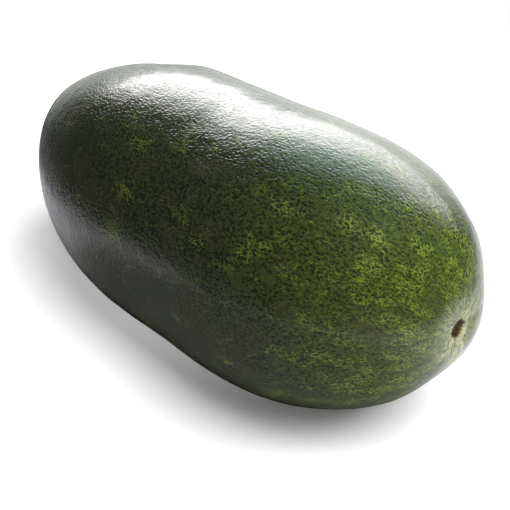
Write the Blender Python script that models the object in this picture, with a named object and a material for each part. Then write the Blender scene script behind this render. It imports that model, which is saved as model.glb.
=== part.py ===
"""An ash gourd (Benincasa hispida), whole and ripe, lying on its side.

Metres, +Z up. The gourd's length runs along X, with the blossom end at +X and the stem end
at -X. The origin is at the middle of the bottom of its bounding box, on the surface that
it rests on.
"""

import bmesh
import bpy
import math
import numpy as np

# Overall size
LENGTH = 0.45                   # between the two poles, before they dip in
BLOSSOM_RADIUS = 0.120          # girth radius that the profile heads for at the blossom end
STEM_RADIUS = 0.104             # girth radius that the profile heads for at the stem end

# How each end closes: 2 is an ellipse, and higher is blunter
BLOSSOM_BLUNTNESS = 2.55
STEM_BLUNTNESS = 1.9

# The slight waist, as shares of the girth and of the half length
WAIST_DEPTH = 0.07
WAIST_PLACE = 0.06
WAIST_REACH = 0.33

# How the fruit grew and lies
SIDE_BEND = 0.015               # how far the middle bows to -Y of the line between the poles
LEVELLING = 0.7                 # share of the taper that shows as a rise of the axis, so that
                                # the underside lies level and not the axis
AXIS_RISE = LEVELLING * (BLOSSOM_RADIUS - STEM_RADIUS) / LENGTH
GROUND_FLAT_DEPTH = 0.0015      # how much the ground spot flattens the underside

# The blossom scar: a corky disc at the bottom of a shallow dimple
BLOSSOM_DIMPLE_DEPTH = 0.0035
BLOSSOM_DIMPLE_REACH = 0.021
BLOSSOM_SCAR_RADIUS = 0.0068
BLOSSOM_SCAR_HEIGHT = 0.0009

# The stem scar: a corky pad at the bottom of a wider basin
STEM_BASIN_DEPTH = 0.0065
STEM_BASIN_REACH = 0.028
STEM_SCAR_RADIUS = 0.0095
STEM_SCAR_HEIGHT = 0.0022

# Mesh density
RINGS_PER_HALF = 26
SEGMENTS = 56
POLE_CROWDING = 1.5             # above 1, the rings crowd towards the poles
SCAR_EDGE = 0.0016              # width of the step down from a scar to the skin
SMOOTH_ANGLE = math.radians(30)

SKIN_COLOUR = (0.045, 0.085, 0.018, 1.0)
SKIN_ROUGHNESS = 0.3


def clear_scene():
    """Remove every object of the scene."""
    for item in list(bpy.data.objects):
        bpy.data.objects.remove(item, do_unlink=True)


def skin_material():
    """The waxy green rind."""
    material = bpy.data.materials.new("gourd_skin")
    material.use_nodes = True
    shader = material.node_tree.nodes["Principled BSDF"]
    shader.inputs["Base Color"].default_value = SKIN_COLOUR
    shader.inputs["Roughness"].default_value = SKIN_ROUGHNESS
    shader.inputs["Metallic"].default_value = 0.0
    return material


def girth_radius(place):
    """The radius of the round body at a place from -1 (stem pole) to 1 (blossom pole)."""
    taper = STEM_RADIUS + (BLOSSOM_RADIUS - STEM_RADIUS) * (place + 1) / 2
    waist = 1 - WAIST_DEPTH * math.exp(-((place - WAIST_PLACE) / WAIST_REACH) ** 2)
    bluntness = BLOSSOM_BLUNTNESS if place > 0 else STEM_BLUNTNESS
    closing = math.sqrt(max(0.0, 1 - abs(place) ** bluntness))
    return taper * waist * closing


def pole_hollow(radius, depth, reach, scar_radius, scar_height):
    """How far the skin dips in towards the middle, at a distance from the axis."""
    dip = depth * math.exp(-((radius / reach) ** 2))
    over_edge = (radius - scar_radius) / SCAR_EDGE
    scar = scar_height * min(1.0, max(0.0, 0.5 - over_edge))
    return dip - scar


def axis_point(place, radius):
    """The centre of the ring of that radius, on the bent and tilted axis."""
    along = place * LENGTH / 2
    if place > 0:
        dip = pole_hollow(radius, BLOSSOM_DIMPLE_DEPTH, BLOSSOM_DIMPLE_REACH,
                          BLOSSOM_SCAR_RADIUS, BLOSSOM_SCAR_HEIGHT)
        along -= dip
    else:
        dip = pole_hollow(radius, STEM_BASIN_DEPTH, STEM_BASIN_REACH,
                          STEM_SCAR_RADIUS, STEM_SCAR_HEIGHT)
        along += dip
    bow = -SIDE_BEND * (1 - place ** 2)
    return np.array([along, bow, along * AXIS_RISE])


def ring_places():
    """Places of the rings from the stem end to the blossom end, closer near the poles."""
    steps = np.arange(1 - RINGS_PER_HALF, RINGS_PER_HALF) / RINGS_PER_HALF
    angles = np.sign(steps) * (1 - (1 - np.abs(steps)) ** POLE_CROWDING) * math.pi / 2
    return np.sin(angles)


def gourd_mesh():
    """Rings of the round body, closed with a fan at each pole."""
    bm = bmesh.new()
    rings = []
    for place in ring_places():
        radius = girth_radius(place)
        centre = axis_point(place, radius)
        ring = []
        for turn in np.arange(SEGMENTS) * 2 * math.pi / SEGMENTS:
            across = np.array([0.0, math.cos(turn), math.sin(turn)]) * radius
            ring.append(bm.verts.new(centre + across))
        rings.append(ring)
    stem_pole = bm.verts.new(axis_point(-1, 0.0))
    blossom_pole = bm.verts.new(axis_point(1, 0.0))
    for lower, upper in zip(rings, rings[1:]):
        for i in range(SEGMENTS):
            j = (i + 1) % SEGMENTS
            bm.faces.new((lower[i], lower[j], upper[j], upper[i]))
    for i in range(SEGMENTS):
        j = (i + 1) % SEGMENTS
        bm.faces.new((stem_pole, rings[0][j], rings[0][i]))
        bm.faces.new((blossom_pole, rings[-1][i], rings[-1][j]))
    bmesh.ops.recalc_face_normals(bm, faces=bm.faces)
    return bm


def flatten_underside(bm):
    """Cut the ground spot as one flat face, square to Z."""
    lowest = min(vertex.co.z for vertex in bm.verts)
    cut = bmesh.ops.bisect_plane(
        bm, geom=bm.verts[:] + bm.edges[:] + bm.faces[:], dist=1e-6,
        plane_co=(0, 0, lowest + GROUND_FLAT_DEPTH), plane_no=(0, 0, -1), clear_outer=True)
    rim = [item for item in cut["geom_cut"] if isinstance(item, bmesh.types.BMEdge)]
    bmesh.ops.contextual_create(bm, geom=rim)
    bmesh.ops.recalc_face_normals(bm, faces=bm.faces)


def stand_on_origin(bm):
    """Move the mesh so that the origin is at the middle of the bottom of its box."""
    corners = np.array([vertex.co for vertex in bm.verts])
    low = corners.min(axis=0)
    high = corners.max(axis=0)
    middle = (low + high) / 2
    bmesh.ops.translate(bm, verts=bm.verts, vec=(-middle[0], -middle[1], -low[2]))


def make_gourd():
    """The whole fruit, grown as one piece."""
    bm = gourd_mesh()
    flatten_underside(bm)
    stand_on_origin(bm)
    mesh = bpy.data.meshes.new("gourd")
    bm.to_mesh(mesh)
    bm.free()
    mesh.shade_smooth()
    mesh.set_sharp_from_angle(angle=SMOOTH_ANGLE)
    mesh.materials.append(skin_material())
    gourd = bpy.data.objects.new("gourd", mesh)
    bpy.context.scene.collection.objects.link(gourd)
    return gourd


clear_scene()
make_gourd()
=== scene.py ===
"""The looks of a whole ash gourd lying on its side on a pale surface.

The CAD solid gives the place and the size. This script grows a finer skin in the same
place: the same round body, with the lumps, hammered relief, puckers and scars of a ripe
fruit, and a waxy green material. Metres, +Z up, blossom end at +X, stem end at -X.
"""

import math

import bpy
import numpy as np
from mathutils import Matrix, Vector, noise


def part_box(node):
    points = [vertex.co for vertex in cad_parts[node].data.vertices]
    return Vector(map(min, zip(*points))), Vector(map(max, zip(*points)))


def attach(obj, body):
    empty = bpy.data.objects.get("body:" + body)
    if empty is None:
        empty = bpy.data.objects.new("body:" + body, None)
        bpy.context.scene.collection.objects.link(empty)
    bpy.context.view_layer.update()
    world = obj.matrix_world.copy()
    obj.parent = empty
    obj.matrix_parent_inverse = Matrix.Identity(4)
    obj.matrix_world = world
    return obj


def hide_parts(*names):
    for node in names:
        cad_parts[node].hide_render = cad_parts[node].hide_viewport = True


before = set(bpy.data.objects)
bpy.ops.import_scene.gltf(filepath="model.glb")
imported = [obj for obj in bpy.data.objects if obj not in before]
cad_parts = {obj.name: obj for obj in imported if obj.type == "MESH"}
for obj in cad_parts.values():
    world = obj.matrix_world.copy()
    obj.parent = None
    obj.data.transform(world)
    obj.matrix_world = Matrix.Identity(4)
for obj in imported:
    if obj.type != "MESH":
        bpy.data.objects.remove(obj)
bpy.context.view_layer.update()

# ---------------------------------------------------------------- the body, as in the CAD

LENGTH = 0.45
BLOSSOM_RADIUS = 0.120
STEM_RADIUS = 0.104
BLOSSOM_BLUNTNESS = 2.55
STEM_BLUNTNESS = 1.9
WAIST_DEPTH = 0.07
WAIST_PLACE = 0.06
WAIST_REACH = 0.33
SIDE_BEND = 0.015
LEVELLING = 0.7
AXIS_RISE = LEVELLING * (BLOSSOM_RADIUS - STEM_RADIUS) / LENGTH
FLAT_SOFTNESS = 0.0004          # how gently the flat rounds into the skin

# The hollows at the two ends: depth and reach of the dip
BLOSSOM_DIMPLE = (0.0052, 0.0155)
STEM_BASIN = (0.0065, 0.028)

# The scars: radius, how far the middle sinks, and the height of the rim around it
BLOSSOM_SCAR = (0.0068, 0.0016, 0.0006)
STEM_SCAR = (0.0095, -0.0016, 0.0012)
SCAR_STRETCH = 0.10             # longer one way and narrower the other, as a share
SCAR_LEAN = math.radians(62)    # turn of its long way
SCAR_RAGGEDNESS = 0.30          # of the scar's radius
SCAR_JAGS = (0.6, 0.2)          # sizes of the coarse and fine jags, on a circle of radius 1
FINE_JAGS = 0.7                 # share of the fine jags
SCAR_RIM = (1.3, 0.3)           # place and width of the rim, in scar radii
SCAR_EDGE = 0.0006              # half the width of the step at a scar's edge
SCAR_GRAIN = (0.0016, 0.00035)  # size and height of the crumbs on a scar

# Mesh density
RINGS = 268
SEGMENTS = 360
PROFILE_STEPS = 6000
POLE_CROWDING = 4.0             # added at the poles to a density of 1 elsewhere
POLE_CROWDING_REACH = 0.014

# Swellings and dents of this one fruit: place from -1 (stem) to 1 (blossom), turn in
# degrees (0 is +Y, 90 is the top), reach and height
SWELLINGS = (
    (-0.84, 122, 0.034, 0.0022),
    (-0.49, 70, 0.020, -0.0010),
    (-0.33, 64, 0.020, 0.0009),
    (-0.16, 58, 0.024, -0.0011),
    (0.37, 56, 0.022, -0.0008),
    (0.65, 44, 0.024, 0.0014),
    (0.92, 9, 0.026, -0.0030),
    (0.92, -86, 0.024, -0.0024),
)

# Relief of the skin: size of one lump, and its height
RELIEF = ((0.045, 0.00035), (0.014, 0.00018), (0.0068, 0.00011))
PUCKERS = 13                    # folds that run into the two hollows
PUCKER_HEIGHT = 0.00022
PUCKER_REACH = 0.030
PUCKER_START = (1.0, 2.2)       # where the folds rise, in scar radii
PUCKER_WANDER = (0.8, 4.0)      # size of the wander on a circle of radius 1, and its amount
PUCKER_UNEVENNESS = 0.4

# Seeds of the noises
RELIEF_SEED = 3.0
PUCKER_SEED = 5.0
SCAR_GRAIN_SEED = 9.0
BLOSSOM_SCAR_SEED = 21.0
STEM_SCAR_SEED = 33.0

# The skin's grain: markings stretch along the fruit, and more so towards the poles
GRAIN_GIRTH = 0.105             # radius of the body where the markings aren't gathered
GRAIN_GATHER = 0.35             # 0 gathers the markings fully towards the poles, and 1 not at all
GRAIN_STRETCH = 1.35


def girth_radius(place):
    """The radius of the round body at places from -1 (stem pole) to 1 (blossom pole)."""
    taper = STEM_RADIUS + (BLOSSOM_RADIUS - STEM_RADIUS) * (place + 1) / 2
    waist = 1 - WAIST_DEPTH * np.exp(-((place - WAIST_PLACE) / WAIST_REACH) ** 2)
    bluntness = np.where(place > 0, BLOSSOM_BLUNTNESS, STEM_BLUNTNESS)
    closing = np.sqrt(np.clip(1 - np.abs(place) ** bluntness, 0, 1))
    return taper * waist * closing


def ring_places():
    """Places of the rings, and their distances along the skin from the stem pole."""
    place = np.sin(np.linspace(-math.pi / 2, math.pi / 2, PROFILE_STEPS))
    radius = girth_radius(place)
    steps = np.hypot(np.diff(place) * LENGTH / 2, np.diff(radius))
    arc = np.concatenate([[0], np.cumsum(steps)])
    from_pole = np.minimum(arc, arc[-1] - arc)
    density = 1 + POLE_CROWDING * np.exp(-((from_pole / POLE_CROWDING_REACH) ** 2))
    count = np.concatenate([[0], np.cumsum((density[1:] + density[:-1]) / 2 * steps)])
    wanted = np.linspace(0, count[-1], RINGS)
    return np.interp(wanted, count, place), np.interp(wanted, count, arc)


def smooth_noise(points, size, seed=0.0):
    """Smooth noise from -1 to 1 at each point of a grid, with lumps about that size."""
    shift = Vector((seed, seed * 1.7, -seed))
    flat = points.reshape(-1, 3) / size
    values = [noise.noise(Vector(p) + shift) for p in flat]
    return np.array(values).reshape(points.shape[:-1])


def step_up(value, start, end):
    """A smooth step from 0 at start to 1 at end."""
    t = np.clip((value - start) / (end - start), 0, 1)
    return t * t * (3 - 2 * t)


def one_per_vertex(grid):
    """The values of a grid in the order of the mesh: the full rings, then the two poles."""
    rings = grid[1:-1].reshape((-1,) + grid.shape[2:])
    return np.concatenate([rings, grid[0, :1], grid[-1, :1]])


class Skin:
    """The grid of the gourd's skin: one row for each ring, one column for each segment."""

    def __init__(self):
        self.place, self.arc = ring_places()
        self.turn = np.arange(SEGMENTS) * 2 * math.pi / SEGMENTS - math.pi / 2
        self.shape = (RINGS, SEGMENTS)
        self.radius = np.broadcast_to(girth_radius(self.place)[:, None], self.shape)
        around = np.stack([np.zeros(SEGMENTS), np.cos(self.turn), np.sin(self.turn)], 1)
        self.around = np.broadcast_to(around, self.shape + (3,))
        self.from_stem = np.broadcast_to(self.arc[:, None], self.shape)
        self.from_blossom = self.arc[-1] - self.from_stem
        self.points = self.bare_points()
        self.settle()
        self.swell()

    def bare_points(self):
        """The round body on its bent and tilted axis, with the hollow ends."""
        along = np.broadcast_to((self.place * LENGTH / 2)[:, None], self.shape)
        blossom_side = self.place[:, None] > 0
        depth, reach = BLOSSOM_DIMPLE
        dimple = depth * np.exp(-((self.radius / reach) ** 2))
        depth, reach = STEM_BASIN
        basin = depth * np.exp(-((self.radius / reach) ** 2))
        along = along + np.where(blossom_side, -dimple, basin)
        bow = np.broadcast_to(-SIDE_BEND * (1 - self.place ** 2)[:, None], self.shape)
        axis = np.stack([along, bow, along * AXIS_RISE], -1)
        return axis + self.radius[..., None] * self.around

    def settle(self):
        """Move the body to where the CAD solid lies, by its width, blossom end and top."""
        low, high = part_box("gourd")
        ours_low = self.points.min(axis=(0, 1))
        ours_high = self.points.max(axis=(0, 1))
        size = (high.y - low.y) / (ours_high[1] - ours_low[1])
        home = np.array([high.x, (low.y + high.y) / 2, high.z])
        anchor = np.array([ours_high[0], (ours_low[1] + ours_high[1]) / 2, ours_high[2]])
        self.points = (self.points - anchor) * size + home
        self.floor = low.z

    def normals(self):
        """Outward directions of the skin."""
        along = np.gradient(self.points, axis=0)
        around = np.roll(self.points, -1, axis=1) - np.roll(self.points, 1, axis=1)
        normal = np.cross(around, along)
        length = np.linalg.norm(normal, axis=-1, keepdims=True)
        normal /= np.maximum(length, 1e-12)
        normal[0] = (-1, 0, 0)
        normal[-1] = (1, 0, 0)
        return normal

    def scar_mask(self, from_pole, scar, seed):
        """1 on a ragged, slightly long scar, and 0 off it."""
        coarse, fine = (smooth_noise(self.around, size, seed) for size in SCAR_JAGS)
        ragged = coarse + FINE_JAGS * fine
        longer = SCAR_STRETCH * np.cos(2 * (self.turn - SCAR_LEAN))
        edge = scar[0] * (1 + longer + SCAR_RAGGEDNESS * ragged)
        return 1 - step_up(from_pole, edge - SCAR_EDGE, edge + SCAR_EDGE)

    def scar_height(self, from_pole, scar, mask):
        """The height of a scar: a sunken or raised middle inside a low rim, with crumbs."""
        radius, sink, rim = scar
        size, crumb = SCAR_GRAIN
        grain = crumb * smooth_noise(self.points, size, SCAR_GRAIN_SEED)
        place, width = SCAR_RIM
        ring = rim * np.exp(-((from_pole - radius * place) / (radius * width)) ** 2)
        return mask * (grain - sink) + ring

    def swelling_height(self):
        """The broad swellings and dents that make this fruit unlike its neighbours."""
        height = np.zeros(self.shape)
        for place, turn, reach, rise in SWELLINGS:
            ring = np.abs(self.place - place).argmin()
            segment = np.cos(self.turn - math.radians(turn)).argmax()
            away = np.linalg.norm(self.points - self.points[ring, segment], axis=-1)
            height += rise * np.exp(-((away / reach) ** 2))
        return height

    def pucker_height(self):
        """Folds that gather around the blossom scar, and around the stem scar."""
        size, amount = PUCKER_WANDER
        wander = smooth_noise(self.around, size, PUCKER_SEED)
        strength = 1 - PUCKER_UNEVENNESS + PUCKER_UNEVENNESS * wander
        fold = np.cos(PUCKERS * self.turn + amount * wander) * strength
        near = np.zeros(self.shape)
        for from_pole, scar in ((self.from_blossom, BLOSSOM_SCAR), (self.from_stem, STEM_SCAR)):
            start, full = (scar[0] * share for share in PUCKER_START)
            reach = np.exp(-((from_pole / PUCKER_REACH) ** 2))
            near += reach * step_up(from_pole, start, full)
        return PUCKER_HEIGHT * fold * near

    def swell(self):
        """Raise the swellings, the hammered relief, the puckers and the scars, and press
        the underside flat on the floor."""
        height = self.swelling_height() + self.pucker_height()
        for number, (size, rise) in enumerate(RELIEF):
            height += rise * smooth_noise(self.points, size, RELIEF_SEED + number)
        self.blossom_scar = self.scar_mask(self.from_blossom, BLOSSOM_SCAR, BLOSSOM_SCAR_SEED)
        self.stem_scar = self.scar_mask(self.from_stem, STEM_SCAR, STEM_SCAR_SEED)
        height += self.scar_height(self.from_blossom, BLOSSOM_SCAR, self.blossom_scar)
        height += self.scar_height(self.from_stem, STEM_SCAR, self.stem_scar)
        self.points = self.points + self.normals() * height[..., None]
        above = (self.points[..., 2] - self.floor) / FLAT_SOFTNESS
        self.points[..., 2] = self.floor + FLAT_SOFTNESS * np.logaddexp(0, above)

    def grain(self):
        """Coordinates of the markings: along the skin, and around a girth that gathers."""
        girth = GRAIN_GIRTH * (self.radius / GRAIN_GIRTH) ** GRAIN_GATHER
        grain = girth[..., None] * self.around
        grain[..., 0] = self.from_stem / GRAIN_STRETCH
        return grain

    def faces(self):
        """Quads from ring to ring and a fan at each pole, and their corners on the map."""
        full_rings = RINGS - 2
        stem_pole = full_rings * SEGMENTS
        blossom_pole = stem_pole + 1
        last_ring = stem_pole - SEGMENTS
        across = np.arange(SEGMENTS + 1) / SEGMENTS
        up = self.arc / self.arc[-1]
        faces, corners = [], []
        for i in range(full_rings - 1):
            ring, next_ring = i * SEGMENTS, (i + 1) * SEGMENTS
            for j in range(SEGMENTS):
                k = (j + 1) % SEGMENTS
                faces.append((ring + j, ring + k, next_ring + k, next_ring + j))
                left, right = across[j], across[j + 1]
                corners += [(left, up[i + 1]), (right, up[i + 1])]
                corners += [(right, up[i + 2]), (left, up[i + 2])]
        for j in range(SEGMENTS):
            k = (j + 1) % SEGMENTS
            left, right = across[j], across[j + 1]
            middle = (left + right) / 2
            faces.append((stem_pole, k, j))
            corners += [(middle, 0.0), (right, up[1]), (left, up[1])]
            faces.append((blossom_pole, last_ring + j, last_ring + k))
            corners += [(middle, 1.0), (left, up[-2]), (right, up[-2])]
        return faces, corners

    def mesh(self):
        """The closed mesh, with one unrolled map and the places that the colours follow."""
        faces, corners = self.faces()
        mesh = bpy.data.meshes.new("gourd_skin")
        mesh.from_pydata(one_per_vertex(self.points).tolist(), [], faces)
        uv = mesh.uv_layers.new(name="OFBake")
        uv.data.foreach_set("uv", np.array(corners, np.float32).ravel())
        mesh.shade_smooth()
        self.write_places(mesh)
        mesh.update()
        return mesh

    def write_places(self, mesh):
        """Attributes that the material reads: the distances from the poles, the scars, the
        grain and the directions around the axis."""
        numbers = {
            "from_stem": self.from_stem,
            "from_blossom": self.from_blossom,
            "blossom_scar": self.blossom_scar,
            "stem_scar": self.stem_scar,
        }
        for name, grid in numbers.items():
            values = one_per_vertex(grid).astype(np.float32)
            mesh.attributes.new(name, "FLOAT", "POINT").data.foreach_set("value", values)
        vectors = {"grain": self.grain(), "around": self.around}
        for name, grid in vectors.items():
            values = one_per_vertex(grid).astype(np.float32).ravel()
            mesh.attributes.new(name, "FLOAT_VECTOR", "POINT").data.foreach_set("vector", values)


# ---------------------------------------------------------------- the material


class Nodes:
    """Short ways to add the nodes of one tree and join them."""

    def __init__(self, tree):
        self.tree = tree

    def add(self, kind, inputs=(), **settings):
        """A node with those settings, whose inputs are set or joined."""
        node = self.tree.nodes.new(kind)
        for name, value in settings.items():
            setattr(node, name, value)
        for name, value in dict(inputs).items():
            self.feed(node.inputs[name], value)
        return node

    def feed(self, socket, value):
        """Join an output to a socket, or set the socket to a value."""
        if isinstance(value, bpy.types.NodeSocket):
            self.tree.links.new(value, socket)
        else:
            socket.default_value = value

    def maths(self, operation, *values, clamp=False):
        """A calculation with numbers, kept from 0 to 1 if clamped."""
        node = self.add("ShaderNodeMath", operation=operation, use_clamp=clamp)
        for socket, value in zip(node.inputs, values):
            self.feed(socket, value)
        return node.outputs[0]

    def vector(self, operation, *values):
        """A calculation with vectors, which gives a number for a dot product or a length."""
        node = self.add("ShaderNodeVectorMath", operation=operation)
        for socket, value in zip(node.inputs, values):
            self.feed(socket, value)
        return node.outputs["Value" if operation in ("DOT_PRODUCT", "LENGTH") else "Vector"]

    def scaled(self, vector, amount):
        """A vector times a number."""
        node = self.add("ShaderNodeVectorMath", {"Scale": amount}, operation="SCALE")
        self.feed(node.inputs[0], vector)
        return node.outputs["Vector"]

    def ramp(self, value, start, end, low=0.0, high=1.0):
        """A smooth step from low at start to high at end."""
        inputs = {"Value": value, "From Min": start, "From Max": end,
                  "To Min": low, "To Max": high}
        node = self.add("ShaderNodeMapRange", inputs, interpolation_type="SMOOTHSTEP")
        return node.outputs["Result"]

    def mix(self, amount, first, second):
        """A colour between two colours."""
        node = self.add("ShaderNodeMix", data_type="RGBA")
        self.feed(node.inputs[0], amount)
        self.feed(node.inputs[6], first)
        self.feed(node.inputs[7], second)
        return node.outputs[2]

    def noise(self, vector, size, detail=2.0, roughness=0.5, distortion=0.0):
        """Noise from 0 to 1 whose grains are about that size."""
        inputs = {"Vector": vector, "Scale": 1 / size, "Detail": detail,
                  "Roughness": roughness, "Distortion": distortion}
        return self.add("ShaderNodeTexNoise", inputs).outputs["Fac"]

    def number(self, name):
        """A number written on the mesh's points."""
        return self.add("ShaderNodeAttribute", attribute_name=name).outputs["Fac"]

    def direction(self, name):
        """A vector written on the mesh's points."""
        return self.add("ShaderNodeAttribute", attribute_name=name).outputs["Vector"]


# Colours, linear
# The blossom-end colours are lighter than the stem-end ones: partly ripening, partly painted
# light falling from the front right.
DOT_STEM = (0.006, 0.009, 0.004, 1)
DOT_BLOSSOM = (0.018, 0.028, 0.006, 1)
SKIN_STEM = (0.029, 0.037, 0.012, 1)
SKIN_BLOSSOM = (0.066, 0.094, 0.012, 1)
LEAF_STEM = (0.086, 0.116, 0.020, 1)
LEAF_BLOSSOM = (0.172, 0.236, 0.028, 1)
HAZE = (0.090, 0.120, 0.050, 1)
RUSSET = (0.040, 0.035, 0.019, 1)
CREAM = (0.540, 0.550, 0.300, 1)
GROUND_SPOT = (0.430, 0.400, 0.170, 1)
SCAR_DARK = (0.024, 0.013, 0.006, 1)
SCAR_PALE = (0.125, 0.068, 0.028, 1)
CORK_DARK = (0.120, 0.080, 0.040, 1)
CORK_PALE = (0.420, 0.330, 0.200, 1)

# Sizes of the markings
DOT_SPACING = 0.0025
FIBRE_SIZE = 0.0013
SWAY = (0.010, 0.0026)          # size and amount of the wander of all markings
STAR_SPACING = 0.024
SPIKE_SIZE = 0.36               # of a star's spikes, on a ball of radius 1
STAR_SHUFFLE = 9.0              # takes each star's spikes from its own part of the noise
PATCH_SIZE = 0.013
RUSSET_SIZE = 0.040
HAZE_SIZE = 0.050
HAZE_SHIFT = (3.1, 1.7, 0.4)    # so that the haze doesn't follow the russet
STREAK_SIZE = 0.13              # of the pale streaks, on a circle of radius 1
STREAK_SWAY = 0.4
CRUMB_SIZE = 0.0020
SMEAR_SIZE = 0.02

# Ramps of the markings: where each starts and ends, and its low and high if not 0 and 1
# Lighter and greener towards the blossom end: partly ripening, partly painted light on the side
# lit from the front right.
RIPENING_AND_PAINTED_LIGHT = (0.34, 0.545)        # distances along the skin from the stem pole
DOT_EDGE = (0.54, 1.02)
FIBRE_IN_FLECK = (0.36, 0.62, 0.20, 1.0)
FIBRE_IN_BLOTCH = (0.36, 0.64, 0.30, 1.25)
STAR_SIZES = (0.15, 0.90, 0.10, 0.38)
STAR_SPIKES = (0.32, 0.70, 0.50, 1.25)
STAR_EDGE = (-0.14, 0.18, 0.0, 0.85)
PATCH_EDGE = (0.54, 0.80)
RUSSET_DRIFT = (0.52, 0.72, 0.0, 0.45)
HAZE_DRIFT = (0.50, 0.78, 0.0, 0.18)

# How much the fibres and luck move a dot's edge, and how much ripening and painted light add to
# the patches
FIBRE_AT_EDGE = 0.55
LUCK_AT_EDGE = 0.22
CROWDING = 0.16

# The pale marks at the blossom end: ramps of the distance from the pole, of the streaks and
# of the direction around the axis. Partly the skin's own streaks, partly painted light: the
# streaks are stronger in a band as a painted reflection, and the collar has a painted highlight
# on one side
PALE_REACH = (0.034, 0.010)
PALE_STREAKS = (0.40, 0.64)
# Painted reflection: the pale streaks are stronger in a band across that end, standing in for the
# skin mirroring the bright table.
PAINTED_SHEEN_TURN = math.radians(60)    # which way a pale band runs across that end
PAINTED_SHEEN_SPREAD = (0.72, 1.0, 0.32, 0.80)
COLLAR_REACH = (0.0125, 0.0070)
COLLAR_STREAKS = (0.36, 0.58, 0.15, 0.60)
# Painted highlight: the pale collar round the blossom scar is palest on its lower right side, as
# if lit there.
COLLAR_HIGHLIGHT_TURN = math.radians(-40)  # which side of the scar's rim is palest
COLLAR_HIGHLIGHT_SPREAD = (0.30, 0.95, 0.5, 1.6)
TONGUE_TURN = math.radians(-84)  # which side of the blossom scar has a cream tongue
TONGUE_SPREAD = (0.88, 1.02)
TONGUE_REACH = (0.056, 0.012)
TONGUE_STREAKS = (0.40, 0.62, 0.15, 0.9)

# The pale streaks at the stem end
STEM_PALE_REACH = (0.040, 0.010)
STEM_PALE_STREAKS = (0.42, 0.66, 0.15, 0.70)

# The ground spot: the height where it fades out, the raggedness of its rim, and its strength
SPOT_HEIGHT = (0.0145, 0.0065)
SPOT_RAGGEDNESS = (0.02, 0.012)
SPOT_STRENGTH = 0.92

# Ramps of the crumbs on the two scars
BARK_CRUMBS = (0.42, 0.70)
CORK_CRUMBS = (0.35, 0.65)

# Gloss and fine relief
WAX_ROUGHNESS = 0.17
SMEAR = (0.3, 0.7, -0.03, 0.05)  # ramp of the smears in the wax, as a change of roughness
SCAR_ROUGHNESS = 0.55           # added on the scars
SPOT_ROUGHNESS = 0.18           # added on the ground spot
COAT_WEIGHT = 0.22
COAT_ROUGHNESS = 0.08
SKIN_IOR = 1.40
PIT_DEPTH = 0.00015
CRINKLE = (0.0026, 0.00032)     # size and height of the finest folds
CRUMB_HEIGHT = 0.0006


def side(turn):
    """The direction around the axis at that turn."""
    return (0.0, math.cos(turn), math.sin(turn))


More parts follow.
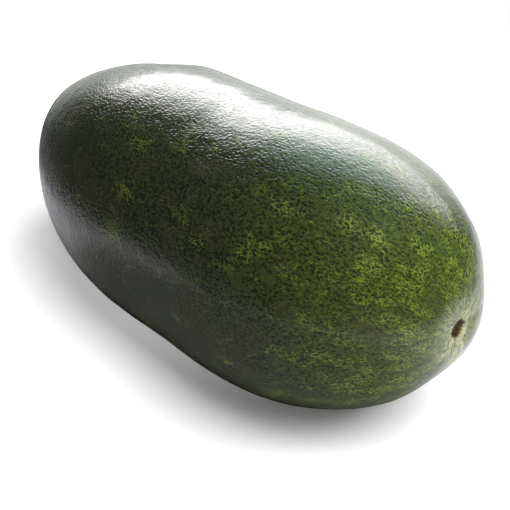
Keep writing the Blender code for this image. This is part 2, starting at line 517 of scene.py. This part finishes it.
class SkinLook:
    """The markings, gloss and fine relief of the skin, as nodes of its material."""

    def __init__(self, make):
        self.make = make
        self.point = make.add("ShaderNodeTexCoord").outputs["Object"]
        self.from_blossom = make.number("from_blossom")
        self.from_stem = make.number("from_stem")
        self.blossom_scar = make.number("blossom_scar")
        self.stem_scar = make.number("stem_scar")
        self.scars = make.maths("MAXIMUM", self.blossom_scar, self.stem_scar)
        self.crumbs = make.noise(self.point, CRUMB_SIZE, detail=4.0, roughness=0.7)
        self.spot = self.ground_spot()
        self.sway, self.grain = self.swayed_grain()
        self.fibre = make.noise(self.grain, FIBRE_SIZE, detail=2.0, roughness=0.6)
        self.net = self.net_between_dots()

    def colour(self):
        """The colour of the skin: greens, then drifts, pale ends, ground spot and scars."""
        colour = self.drifts(self.speckled_green())
        colour = self.pale_ends(colour)
        amount = self.make.maths("MULTIPLY", self.spot, SPOT_STRENGTH)
        colour = self.make.mix(amount, colour, GROUND_SPOT)
        return self.scarred(colour)

    def swayed_grain(self):
        """The wander of the markings, and the grain nudged by it so that none runs straight."""
        make = self.make
        size, amount = SWAY
        grain = make.direction("grain")
        inputs = {"Vector": grain, "Scale": 1 / size, "Detail": 1.0}
        sway = make.add("ShaderNodeTexNoise", inputs).outputs["Color"]
        sway = make.vector("SUBTRACT", sway, (0.5, 0.5, 0.5))
        return sway, make.vector("ADD", grain, make.scaled(sway, amount))

    def speckled_green(self):
        """Dark dots on a lighter ground, which has blotches and turns lighter and greener towards
        the blossom end: partly ripening, partly painted light.
        """
        make = self.make
        # Partly ripening, partly painted light: the blossom end is made lighter as if lit from
        # the front right.
        ripeness_and_painted_light = make.ramp(self.from_stem, *RIPENING_AND_PAINTED_LIGHT)
        fleck = make.maths("MULTIPLY", self.net, make.ramp(self.fibre, *FIBRE_IN_FLECK))
        dots = make.mix(ripeness_and_painted_light, DOT_STEM, DOT_BLOSSOM)
        plain = make.mix(ripeness_and_painted_light, SKIN_STEM, SKIN_BLOSSOM)
        leaf = make.mix(ripeness_and_painted_light, LEAF_STEM, LEAF_BLOSSOM)
        ground = make.mix(self.blotches(ripeness_and_painted_light), plain, leaf)
        return make.mix(fleck, dots, ground)

    def net_between_dots(self):
        """0 in the dots and 1 between them, with an edge that fibres fray."""
        make = self.make
        inputs = {"Vector": self.grain, "Scale": 1 / DOT_SPACING}
        cells = make.add("ShaderNodeTexVoronoi", inputs)
        luck = make.add("ShaderNodeSeparateColor", {"Color": cells.outputs["Color"]})
        frayed = make.maths("MULTIPLY", self.fibre, FIBRE_AT_EDGE)
        edge = make.maths("ADD", cells.outputs["Distance"], frayed)
        uneven = make.maths("MULTIPLY", luck.outputs["Red"], LUCK_AT_EDGE)
        return make.ramp(make.maths("ADD", edge, uneven), *DOT_EDGE)

    def blotches(self, ripeness_and_painted_light):
        """Stars, and wider patches which run together towards the blossom end."""
        make = self.make
        patch = make.noise(self.grain, PATCH_SIZE, detail=4.0, roughness=0.62)
        crowd = make.maths("MULTIPLY", ripeness_and_painted_light, CROWDING)
        patch = make.ramp(make.maths("ADD", patch, crowd), *PATCH_EDGE)
        blotch = make.maths("MAXIMUM", self.stars(), patch)
        fibre = make.ramp(self.fibre, *FIBRE_IN_BLOTCH)
        return make.maths("MULTIPLY", blotch, fibre, clamp=True)

    def stars(self):
        """A spiky disc around each of some scattered points."""
        make = self.make
        inputs = {"Vector": self.grain, "Scale": 1 / STAR_SPACING}
        cells = make.add("ShaderNodeTexVoronoi", inputs)
        own = cells.outputs["Color"]
        away = make.vector("SUBTRACT", self.grain, cells.outputs["Position"])
        heading = make.vector("NORMALIZE", away)
        heading = make.vector("ADD", heading, make.scaled(own, STAR_SHUFFLE))
        spikes = make.noise(heading, SPIKE_SIZE, detail=1.0)
        luck = make.add("ShaderNodeSeparateColor", {"Color": own}).outputs["Red"]
        size = make.maths("MULTIPLY", make.ramp(luck, *STAR_SIZES),
                          make.ramp(spikes, *STAR_SPIKES))
        inside = make.maths("SUBTRACT", size, cells.outputs["Distance"])
        return make.ramp(inside, *STAR_EDGE)

    def drifts(self, colour):
        """Russet and haze in uneven drifts."""
        make = self.make
        russet = make.noise(self.point, RUSSET_SIZE, detail=4.0, roughness=0.62)
        colour = make.mix(make.ramp(russet, *RUSSET_DRIFT), colour, RUSSET)
        place = make.vector("ADD", self.point, HAZE_SHIFT)
        haze = make.noise(place, HAZE_SIZE, detail=5.0, roughness=0.66)
        return make.mix(make.ramp(haze, *HAZE_DRIFT), colour, HAZE)

    def pale_ends(self, colour):
        """Pale streaks that run into the two hollows, and a cream tongue at one of them. At the
        blossom end the streaks are stronger in a band, as a painted reflection of the bright
        table, and the collar round the scar has a painted highlight on one side.
        """
        make = self.make
        around = make.direction("around")
        swayed = make.vector("ADD", around, make.scaled(self.sway, STREAK_SWAY))
        streak = make.noise(swayed, STREAK_SIZE, detail=3.0, roughness=0.62)

        def streaks(reach, distance, kept):
            near = make.ramp(distance, *reach)
            return make.maths("MULTIPLY", make.ramp(streak, *kept), near)

        def facing(turn):
            return make.vector("DOT_PRODUCT", around, side(turn))

        pale = streaks(PALE_REACH, self.from_blossom, PALE_STREAKS)
        # Painted reflection: the streaks are stronger in a band across the blossom end.
        across = make.maths("ABSOLUTE", facing(PAINTED_SHEEN_TURN))
        pale = make.maths("MULTIPLY", pale, make.ramp(across, *PAINTED_SHEEN_SPREAD))
        colour = make.mix(pale, colour, CREAM)

        collar = streaks(COLLAR_REACH, self.from_blossom, COLLAR_STREAKS)
        # Painted highlight: the pale collar is made brighter on its lower right side.
        collar_highlight = make.ramp(facing(COLLAR_HIGHLIGHT_TURN), *COLLAR_HIGHLIGHT_SPREAD)
        collar = make.maths("MULTIPLY", collar, collar_highlight, clamp=True)
        colour = make.mix(collar, colour, CREAM)

        tongue = streaks(TONGUE_REACH, self.from_blossom, TONGUE_STREAKS)
        spread = make.ramp(facing(TONGUE_TURN), *TONGUE_SPREAD)
        colour = make.mix(make.maths("MULTIPLY", tongue, spread), colour, CREAM)

        stem = streaks(STEM_PALE_REACH, self.from_stem, STEM_PALE_STREAKS)
        return make.mix(stem, colour, CREAM)

    def ground_spot(self):
        """1 underneath, where no light reached the skin, and 0 above a ragged rim."""
        make = self.make
        height = make.add("ShaderNodeSeparateXYZ", {"Vector": self.point}).outputs["Z"]
        size, amount = SPOT_RAGGEDNESS
        ragged = make.noise(self.point, size, detail=4.0, roughness=0.6)
        rim = make.maths("ADD", height, make.maths("MULTIPLY", ragged, amount))
        return make.ramp(rim, *SPOT_HEIGHT)

    def scarred(self, colour):
        """Brown bark on the blossom scar, and paler cork on the stem scar."""
        make = self.make
        bark = make.mix(make.ramp(self.crumbs, *BARK_CRUMBS), SCAR_DARK, SCAR_PALE)
        colour = make.mix(self.blossom_scar, colour, bark)
        cork = make.mix(make.ramp(self.crumbs, *CORK_CRUMBS), CORK_DARK, CORK_PALE)
        return make.mix(self.stem_scar, colour, cork)

    def set_gloss(self, shader):
        """Wax, duller on the scars and the ground spot, with a thin coat off the scars."""
        make = self.make
        smear = make.noise(self.point, SMEAR_SIZE, detail=3.0)
        rough = make.maths("ADD", make.ramp(smear, *SMEAR), WAX_ROUGHNESS)
        rough = make.maths("ADD", rough, make.maths("MULTIPLY", self.scars, SCAR_ROUGHNESS))
        dull = make.maths("MULTIPLY", self.spot, SPOT_ROUGHNESS)
        rough = make.maths("ADD", rough, dull, clamp=True)
        make.feed(shader.inputs["Roughness"], rough)
        bare = make.maths("SUBTRACT", 1.0, self.scars)
        make.feed(shader.inputs["Coat Weight"], make.maths("MULTIPLY", bare, COAT_WEIGHT))
        shader.inputs["Coat Roughness"].default_value = COAT_ROUGHNESS
        shader.inputs["IOR"].default_value = SKIN_IOR

    def relief(self):
        """Fine relief, in metres: pits at the dots, folds of the wax, crumbs on the scars."""
        make = self.make
        size, rise = CRINKLE
        height = make.maths("MULTIPLY", self.net, PIT_DEPTH)
        folds = make.noise(self.grain, size, detail=3.0, roughness=0.6, distortion=0.4)
        height = make.maths("ADD", height, make.maths("MULTIPLY", folds, rise))
        crumbs = make.maths("MULTIPLY", self.crumbs, self.scars)
        height = make.maths("ADD", height, make.maths("MULTIPLY", crumbs, CRUMB_HEIGHT))
        inputs = {"Height": height, "Strength": 1.0, "Distance": 1.0}
        return make.add("ShaderNodeBump", inputs).outputs["Normal"]


def skin_material():
    """Dark green wax with light flecks, star blotches, haze, scars and a ground spot."""
    material = bpy.data.materials.new("gourd_skin")
    material.use_nodes = True
    tree = material.node_tree
    shader = tree.nodes["Principled BSDF"]
    make = Nodes(tree)
    look = SkinLook(make)
    make.feed(shader.inputs["Base Color"], look.colour())
    make.feed(shader.inputs["Normal"], look.relief())
    look.set_gloss(shader)
    return material


# ---------------------------------------------------------------- the stage

FLOOR_RADIUS = 0.64
FLOOR_SIDES = 96
FLOOR_COLOUR = (1.08, 1.08, 1.10, 1)    # above 1, so that the table burns out to white
FLOOR_GLOW = (0.10, 0.42)               # keeps the shadow pale, most of all at the stem side
GLOW_REACH = (0.14, -0.08)              # along X, from the least glow to the most
FLOOR_MIRRORED = (0.93, 0.93, 1.00, 1)
DIM_COLOUR = (0.20, 0.20, 0.21, 1)      # of the mirrored table in the two dim places
DIM_PLACE = (0.10, -0.24, 0.0)          # in front of the gourd
DIM_REACH = (0.24, 0.37)                # how far that place reaches, and where it ends
DIM_END = (-0.31, -0.42)                # along X, past the stem end

WHITE = (1.0, 1.0, 1.0, 1)

CAMERA_AZIMUTH = 47.4           # 0 looks along +Y
CAMERA_ELEVATION = 33.3
CAMERA_DISTANCE = 1.0
CAMERA_LENS = 90.9
CAMERA_SENSOR = 36.0
AIM = (0.031, 0.0, 0.084)

# The window: a wide soft light behind the gourd, as seen from it, in degrees
WINDOW_AZIMUTH = CAMERA_AZIMUTH + 165
WINDOW_HALF_WIDTH = 42
SIDE_FADE = 14                  # width of the soft sides of the window and of the wall
WINDOW_BOTTOM = (8, 14)
WINDOW_TOP = (33, 57)
WINDOW_STRENGTH = 9.5
WINDOW_EVEN = 20                # how far from its stem end it starts to get dimmer
WINDOW_DIM_END = 0.55           # how bright its end at the blossom side is, as a share
WINDOW_COLOUR = WHITE
WINDOW_TOP_COLOUR = (0.60, 1.0, 0.93, 1)
WINDOW_SLOPE = 12               # how much lower its top is at the stem end
WINDOW_SLOPE_REACH = 40         # how far from that end the top is level again

# A teal sheen on the ceiling above the window
SHEEN_RISE = (36, 50)
SHEEN_FALL = (78, 58)
SHEEN_AZIMUTH = CAMERA_AZIMUTH + 168
SHEEN_SIDES = (46, 20)
SHEEN_STRENGTH = 2.7
SHEEN_COLOUR = (0.60, 1.0, 0.92)

# The pale wall below the window, brighter behind the blossom end
WALL_AZIMUTH = CAMERA_AZIMUTH + 177
WALL_HALF_WIDTH = 32
WALL_STRENGTH = 0.80
WALL_COLOUR = (0.94, 1.0, 0.92)
BRIGHT_WALL_AZIMUTH = CAMERA_AZIMUTH + 161
BRIGHT_WALL_HALF_WIDTH = 15
ROOM_STRENGTH = 0.07

# The ceiling light: large, soft, and without a reflection of its own
CEILING_PLACE = (0.65, 0.10, 1.28)
CEILING_SIZE = 1.5
CEILING_POWER = 44.0


def floor_material():
    """White, with a dimmer table in what the gourd mirrors."""
    material = bpy.data.materials.new("floor_white")
    material.use_nodes = True
    tree = material.node_tree
    make = Nodes(tree)
    place = make.add("ShaderNodeTexCoord").outputs["Object"]
    away = make.vector("LENGTH", make.vector("SUBTRACT", place, DIM_PLACE))
    mirrored = make.mix(make.ramp(away, *DIM_REACH), DIM_COLOUR, FLOOR_MIRRORED)
    along = make.add("ShaderNodeSeparateXYZ", {"Vector": place}).outputs["X"]
    mirrored = make.mix(make.ramp(along, *DIM_END), mirrored, DIM_COLOUR)
    glossy = make.add("ShaderNodeLightPath").outputs["Is Glossy Ray"]
    colour = make.mix(glossy, FLOOR_COLOUR, mirrored)
    matt = make.add("ShaderNodeBsdfDiffuse", {"Color": colour})
    glow = make.maths("MULTIPLY", make.maths("SUBTRACT", 1.0, glossy),
                      make.ramp(along, *GLOW_REACH, *FLOOR_GLOW))
    glow = make.add("ShaderNodeEmission", {"Strength": glow})
    both = make.add("ShaderNodeAddShader")
    make.feed(both.inputs[0], matt.outputs[0])
    make.feed(both.inputs[1], glow.outputs[0])
    make.feed(tree.nodes["Material Output"].inputs["Surface"], both.outputs[0])
    return material


def make_floor():
    """A round white table top."""
    turns = np.arange(FLOOR_SIDES) * 2 * math.pi / FLOOR_SIDES
    rim = [(FLOOR_RADIUS * math.cos(t), FLOOR_RADIUS * math.sin(t), 0.0) for t in turns]
    mesh = bpy.data.meshes.new("floor")
    mesh.from_pydata(rim, [], [tuple(range(FLOOR_SIDES))])
    floor = bpy.data.objects.new("floor", mesh)
    bpy.context.scene.collection.objects.link(floor)
    mesh.materials.append(floor_material())


class RoomLight:
    """What the gourd mirrors of the room, as nodes that read the direction looked in."""

    def __init__(self, make):
        self.make = make
        direction = make.add("ShaderNodeTexCoord").outputs["Generated"]
        rise = make.add("ShaderNodeSeparateXYZ", {"Vector": direction}).outputs["Z"]
        self.elevation = make.maths("DEGREES", make.maths("ARCSINE", rise))
        level = make.vector("MULTIPLY", direction, (1.0, 1.0, 0.0))
        self.level = make.vector("NORMALIZE", level)
        self.above_sill = make.ramp(self.elevation, *WINDOW_BOTTOM)

    def colour(self):
        """All the light together."""
        light = self.make.vector("ADD", self.window(), self.wall())
        return self.make.vector("ADD", light, self.sheen())

    def degrees_from(self, azimuth):
        """How far the direction lies from an azimuth, to either side."""
        make = self.make
        turn = math.radians(azimuth)
        heading = (math.sin(turn), -math.cos(turn), 0.0)
        facing = make.maths("MINIMUM", make.vector("DOT_PRODUCT", self.level, heading), 1.0)
        return make.maths("DEGREES", make.maths("ARCCOSINE", facing))

    def beside(self, azimuth, half_width):
        """1 near an azimuth, and 0 beyond the half width, with soft sides."""
        fade = SIDE_FADE / 2
        away = self.degrees_from(azimuth)
        return self.make.ramp(away, half_width + fade, half_width - fade)

    def window(self):
        """The window, with a sloping top and a dimmer end at the blossom side."""
        make = self.make
        off_stem_end = self.degrees_from(WINDOW_AZIMUTH + WINDOW_HALF_WIDTH)
        slope = make.ramp(off_stem_end, WINDOW_SLOPE_REACH, 0, 0, WINDOW_SLOPE)
        highest, lowest = WINDOW_TOP[1], WINDOW_TOP[0]
        top = make.ramp(make.maths("ADD", self.elevation, slope), highest, lowest)
        pane = make.maths("MULTIPLY", self.above_sill, top)
        sides = self.beside(WINDOW_AZIMUTH, WINDOW_HALF_WIDTH)
        pane = make.maths("MULTIPLY", pane, sides)
        strength = make.ramp(off_stem_end, WINDOW_EVEN, 2 * WINDOW_HALF_WIDTH,
                             WINDOW_STRENGTH, WINDOW_STRENGTH * WINDOW_DIM_END)
        pane = make.maths("MULTIPLY", pane, strength)
        higher = make.ramp(self.elevation, *WINDOW_TOP)
        tint = make.mix(higher, WINDOW_COLOUR, WINDOW_TOP_COLOUR)
        return make.scaled(tint, pane)

    def wall(self):
        """The pale wall below the window, and the dim light of the rest of the room."""
        make = self.make
        wall = make.maths("ADD", self.beside(WALL_AZIMUTH, WALL_HALF_WIDTH),
                          self.beside(BRIGHT_WALL_AZIMUTH, BRIGHT_WALL_HALF_WIDTH))
        below = make.maths("SUBTRACT", 1.0, self.above_sill)
        wall = make.maths("MULTIPLY", make.maths("MULTIPLY", below, wall), WALL_STRENGTH)
        return make.scaled(WALL_COLOUR, make.maths("ADD", wall, ROOM_STRENGTH))

    def sheen(self):
        """A teal sheen on the ceiling above the window."""
        make = self.make
        sheen = make.maths("MULTIPLY", make.ramp(self.elevation, *SHEEN_RISE),
                           make.ramp(self.elevation, *SHEEN_FALL))
        away = self.degrees_from(SHEEN_AZIMUTH)
        strength = make.ramp(away, *SHEEN_SIDES, 0, SHEEN_STRENGTH)
        return make.scaled(SHEEN_COLOUR, make.maths("MULTIPLY", sheen, strength))


def make_room():
    """A dim room with one wide window, which the gourd mirrors and the camera sees as white."""
    world = bpy.data.worlds.new("studio")
    bpy.context.scene.world = world
    world.use_nodes = True
    world.cycles_visibility.diffuse = False
    tree = world.node_tree
    make = Nodes(tree)
    seen = make.add("ShaderNodeLightPath").outputs["Is Camera Ray"]
    colour = make.mix(seen, RoomLight(make).colour(), WHITE)
    background = tree.nodes["Background"]
    make.feed(background.inputs["Color"], colour)
    background.inputs["Strength"].default_value = 1.0


def make_ceiling_light():
    """A large soft light above, which keeps the table white and its shadows short."""
    data = bpy.data.lights.new("ceiling", "AREA")
    data.shape = "SQUARE"
    data.size = CEILING_SIZE
    data.energy = CEILING_POWER
    light = bpy.data.objects.new("ceiling", data)
    light.location = CEILING_PLACE
    towards = Vector(CEILING_PLACE) - Vector(AIM)
    light.rotation_euler = towards.to_track_quat("Z", "Y").to_euler()
    light.visible_glossy = False
    bpy.context.scene.collection.objects.link(light)


def make_camera():
    """The camera, looking down on the gourd from the side of its blossom end."""
    azimuth = math.radians(CAMERA_AZIMUTH)
    elevation = math.radians(CAMERA_ELEVATION)
    back = Vector((math.sin(azimuth) * math.cos(elevation),
                   -math.cos(azimuth) * math.cos(elevation), math.sin(elevation)))
    data = bpy.data.cameras.new("camera")
    data.lens = CAMERA_LENS
    data.sensor_width = CAMERA_SENSOR
    data.dof.use_dof = False
    camera = bpy.data.objects.new("camera", data)
    camera.location = Vector(AIM) + back * CAMERA_DISTANCE
    camera.rotation_euler = back.to_track_quat("Z", "Y").to_euler()
    bpy.context.scene.collection.objects.link(camera)
    bpy.context.scene.camera = camera


# ---------------------------------------------------------------- all together

skin = bpy.data.objects.new("gourd_skin", Skin().mesh())
bpy.context.scene.collection.objects.link(skin)
skin.data.materials.append(skin_material())
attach(skin, "root")
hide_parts("gourd")

make_floor()
make_room()
make_ceiling_light()
make_camera()
bpy.context.scene.view_settings.view_transform = "Standard"
bpy.context.scene.view_settings.look = "None"
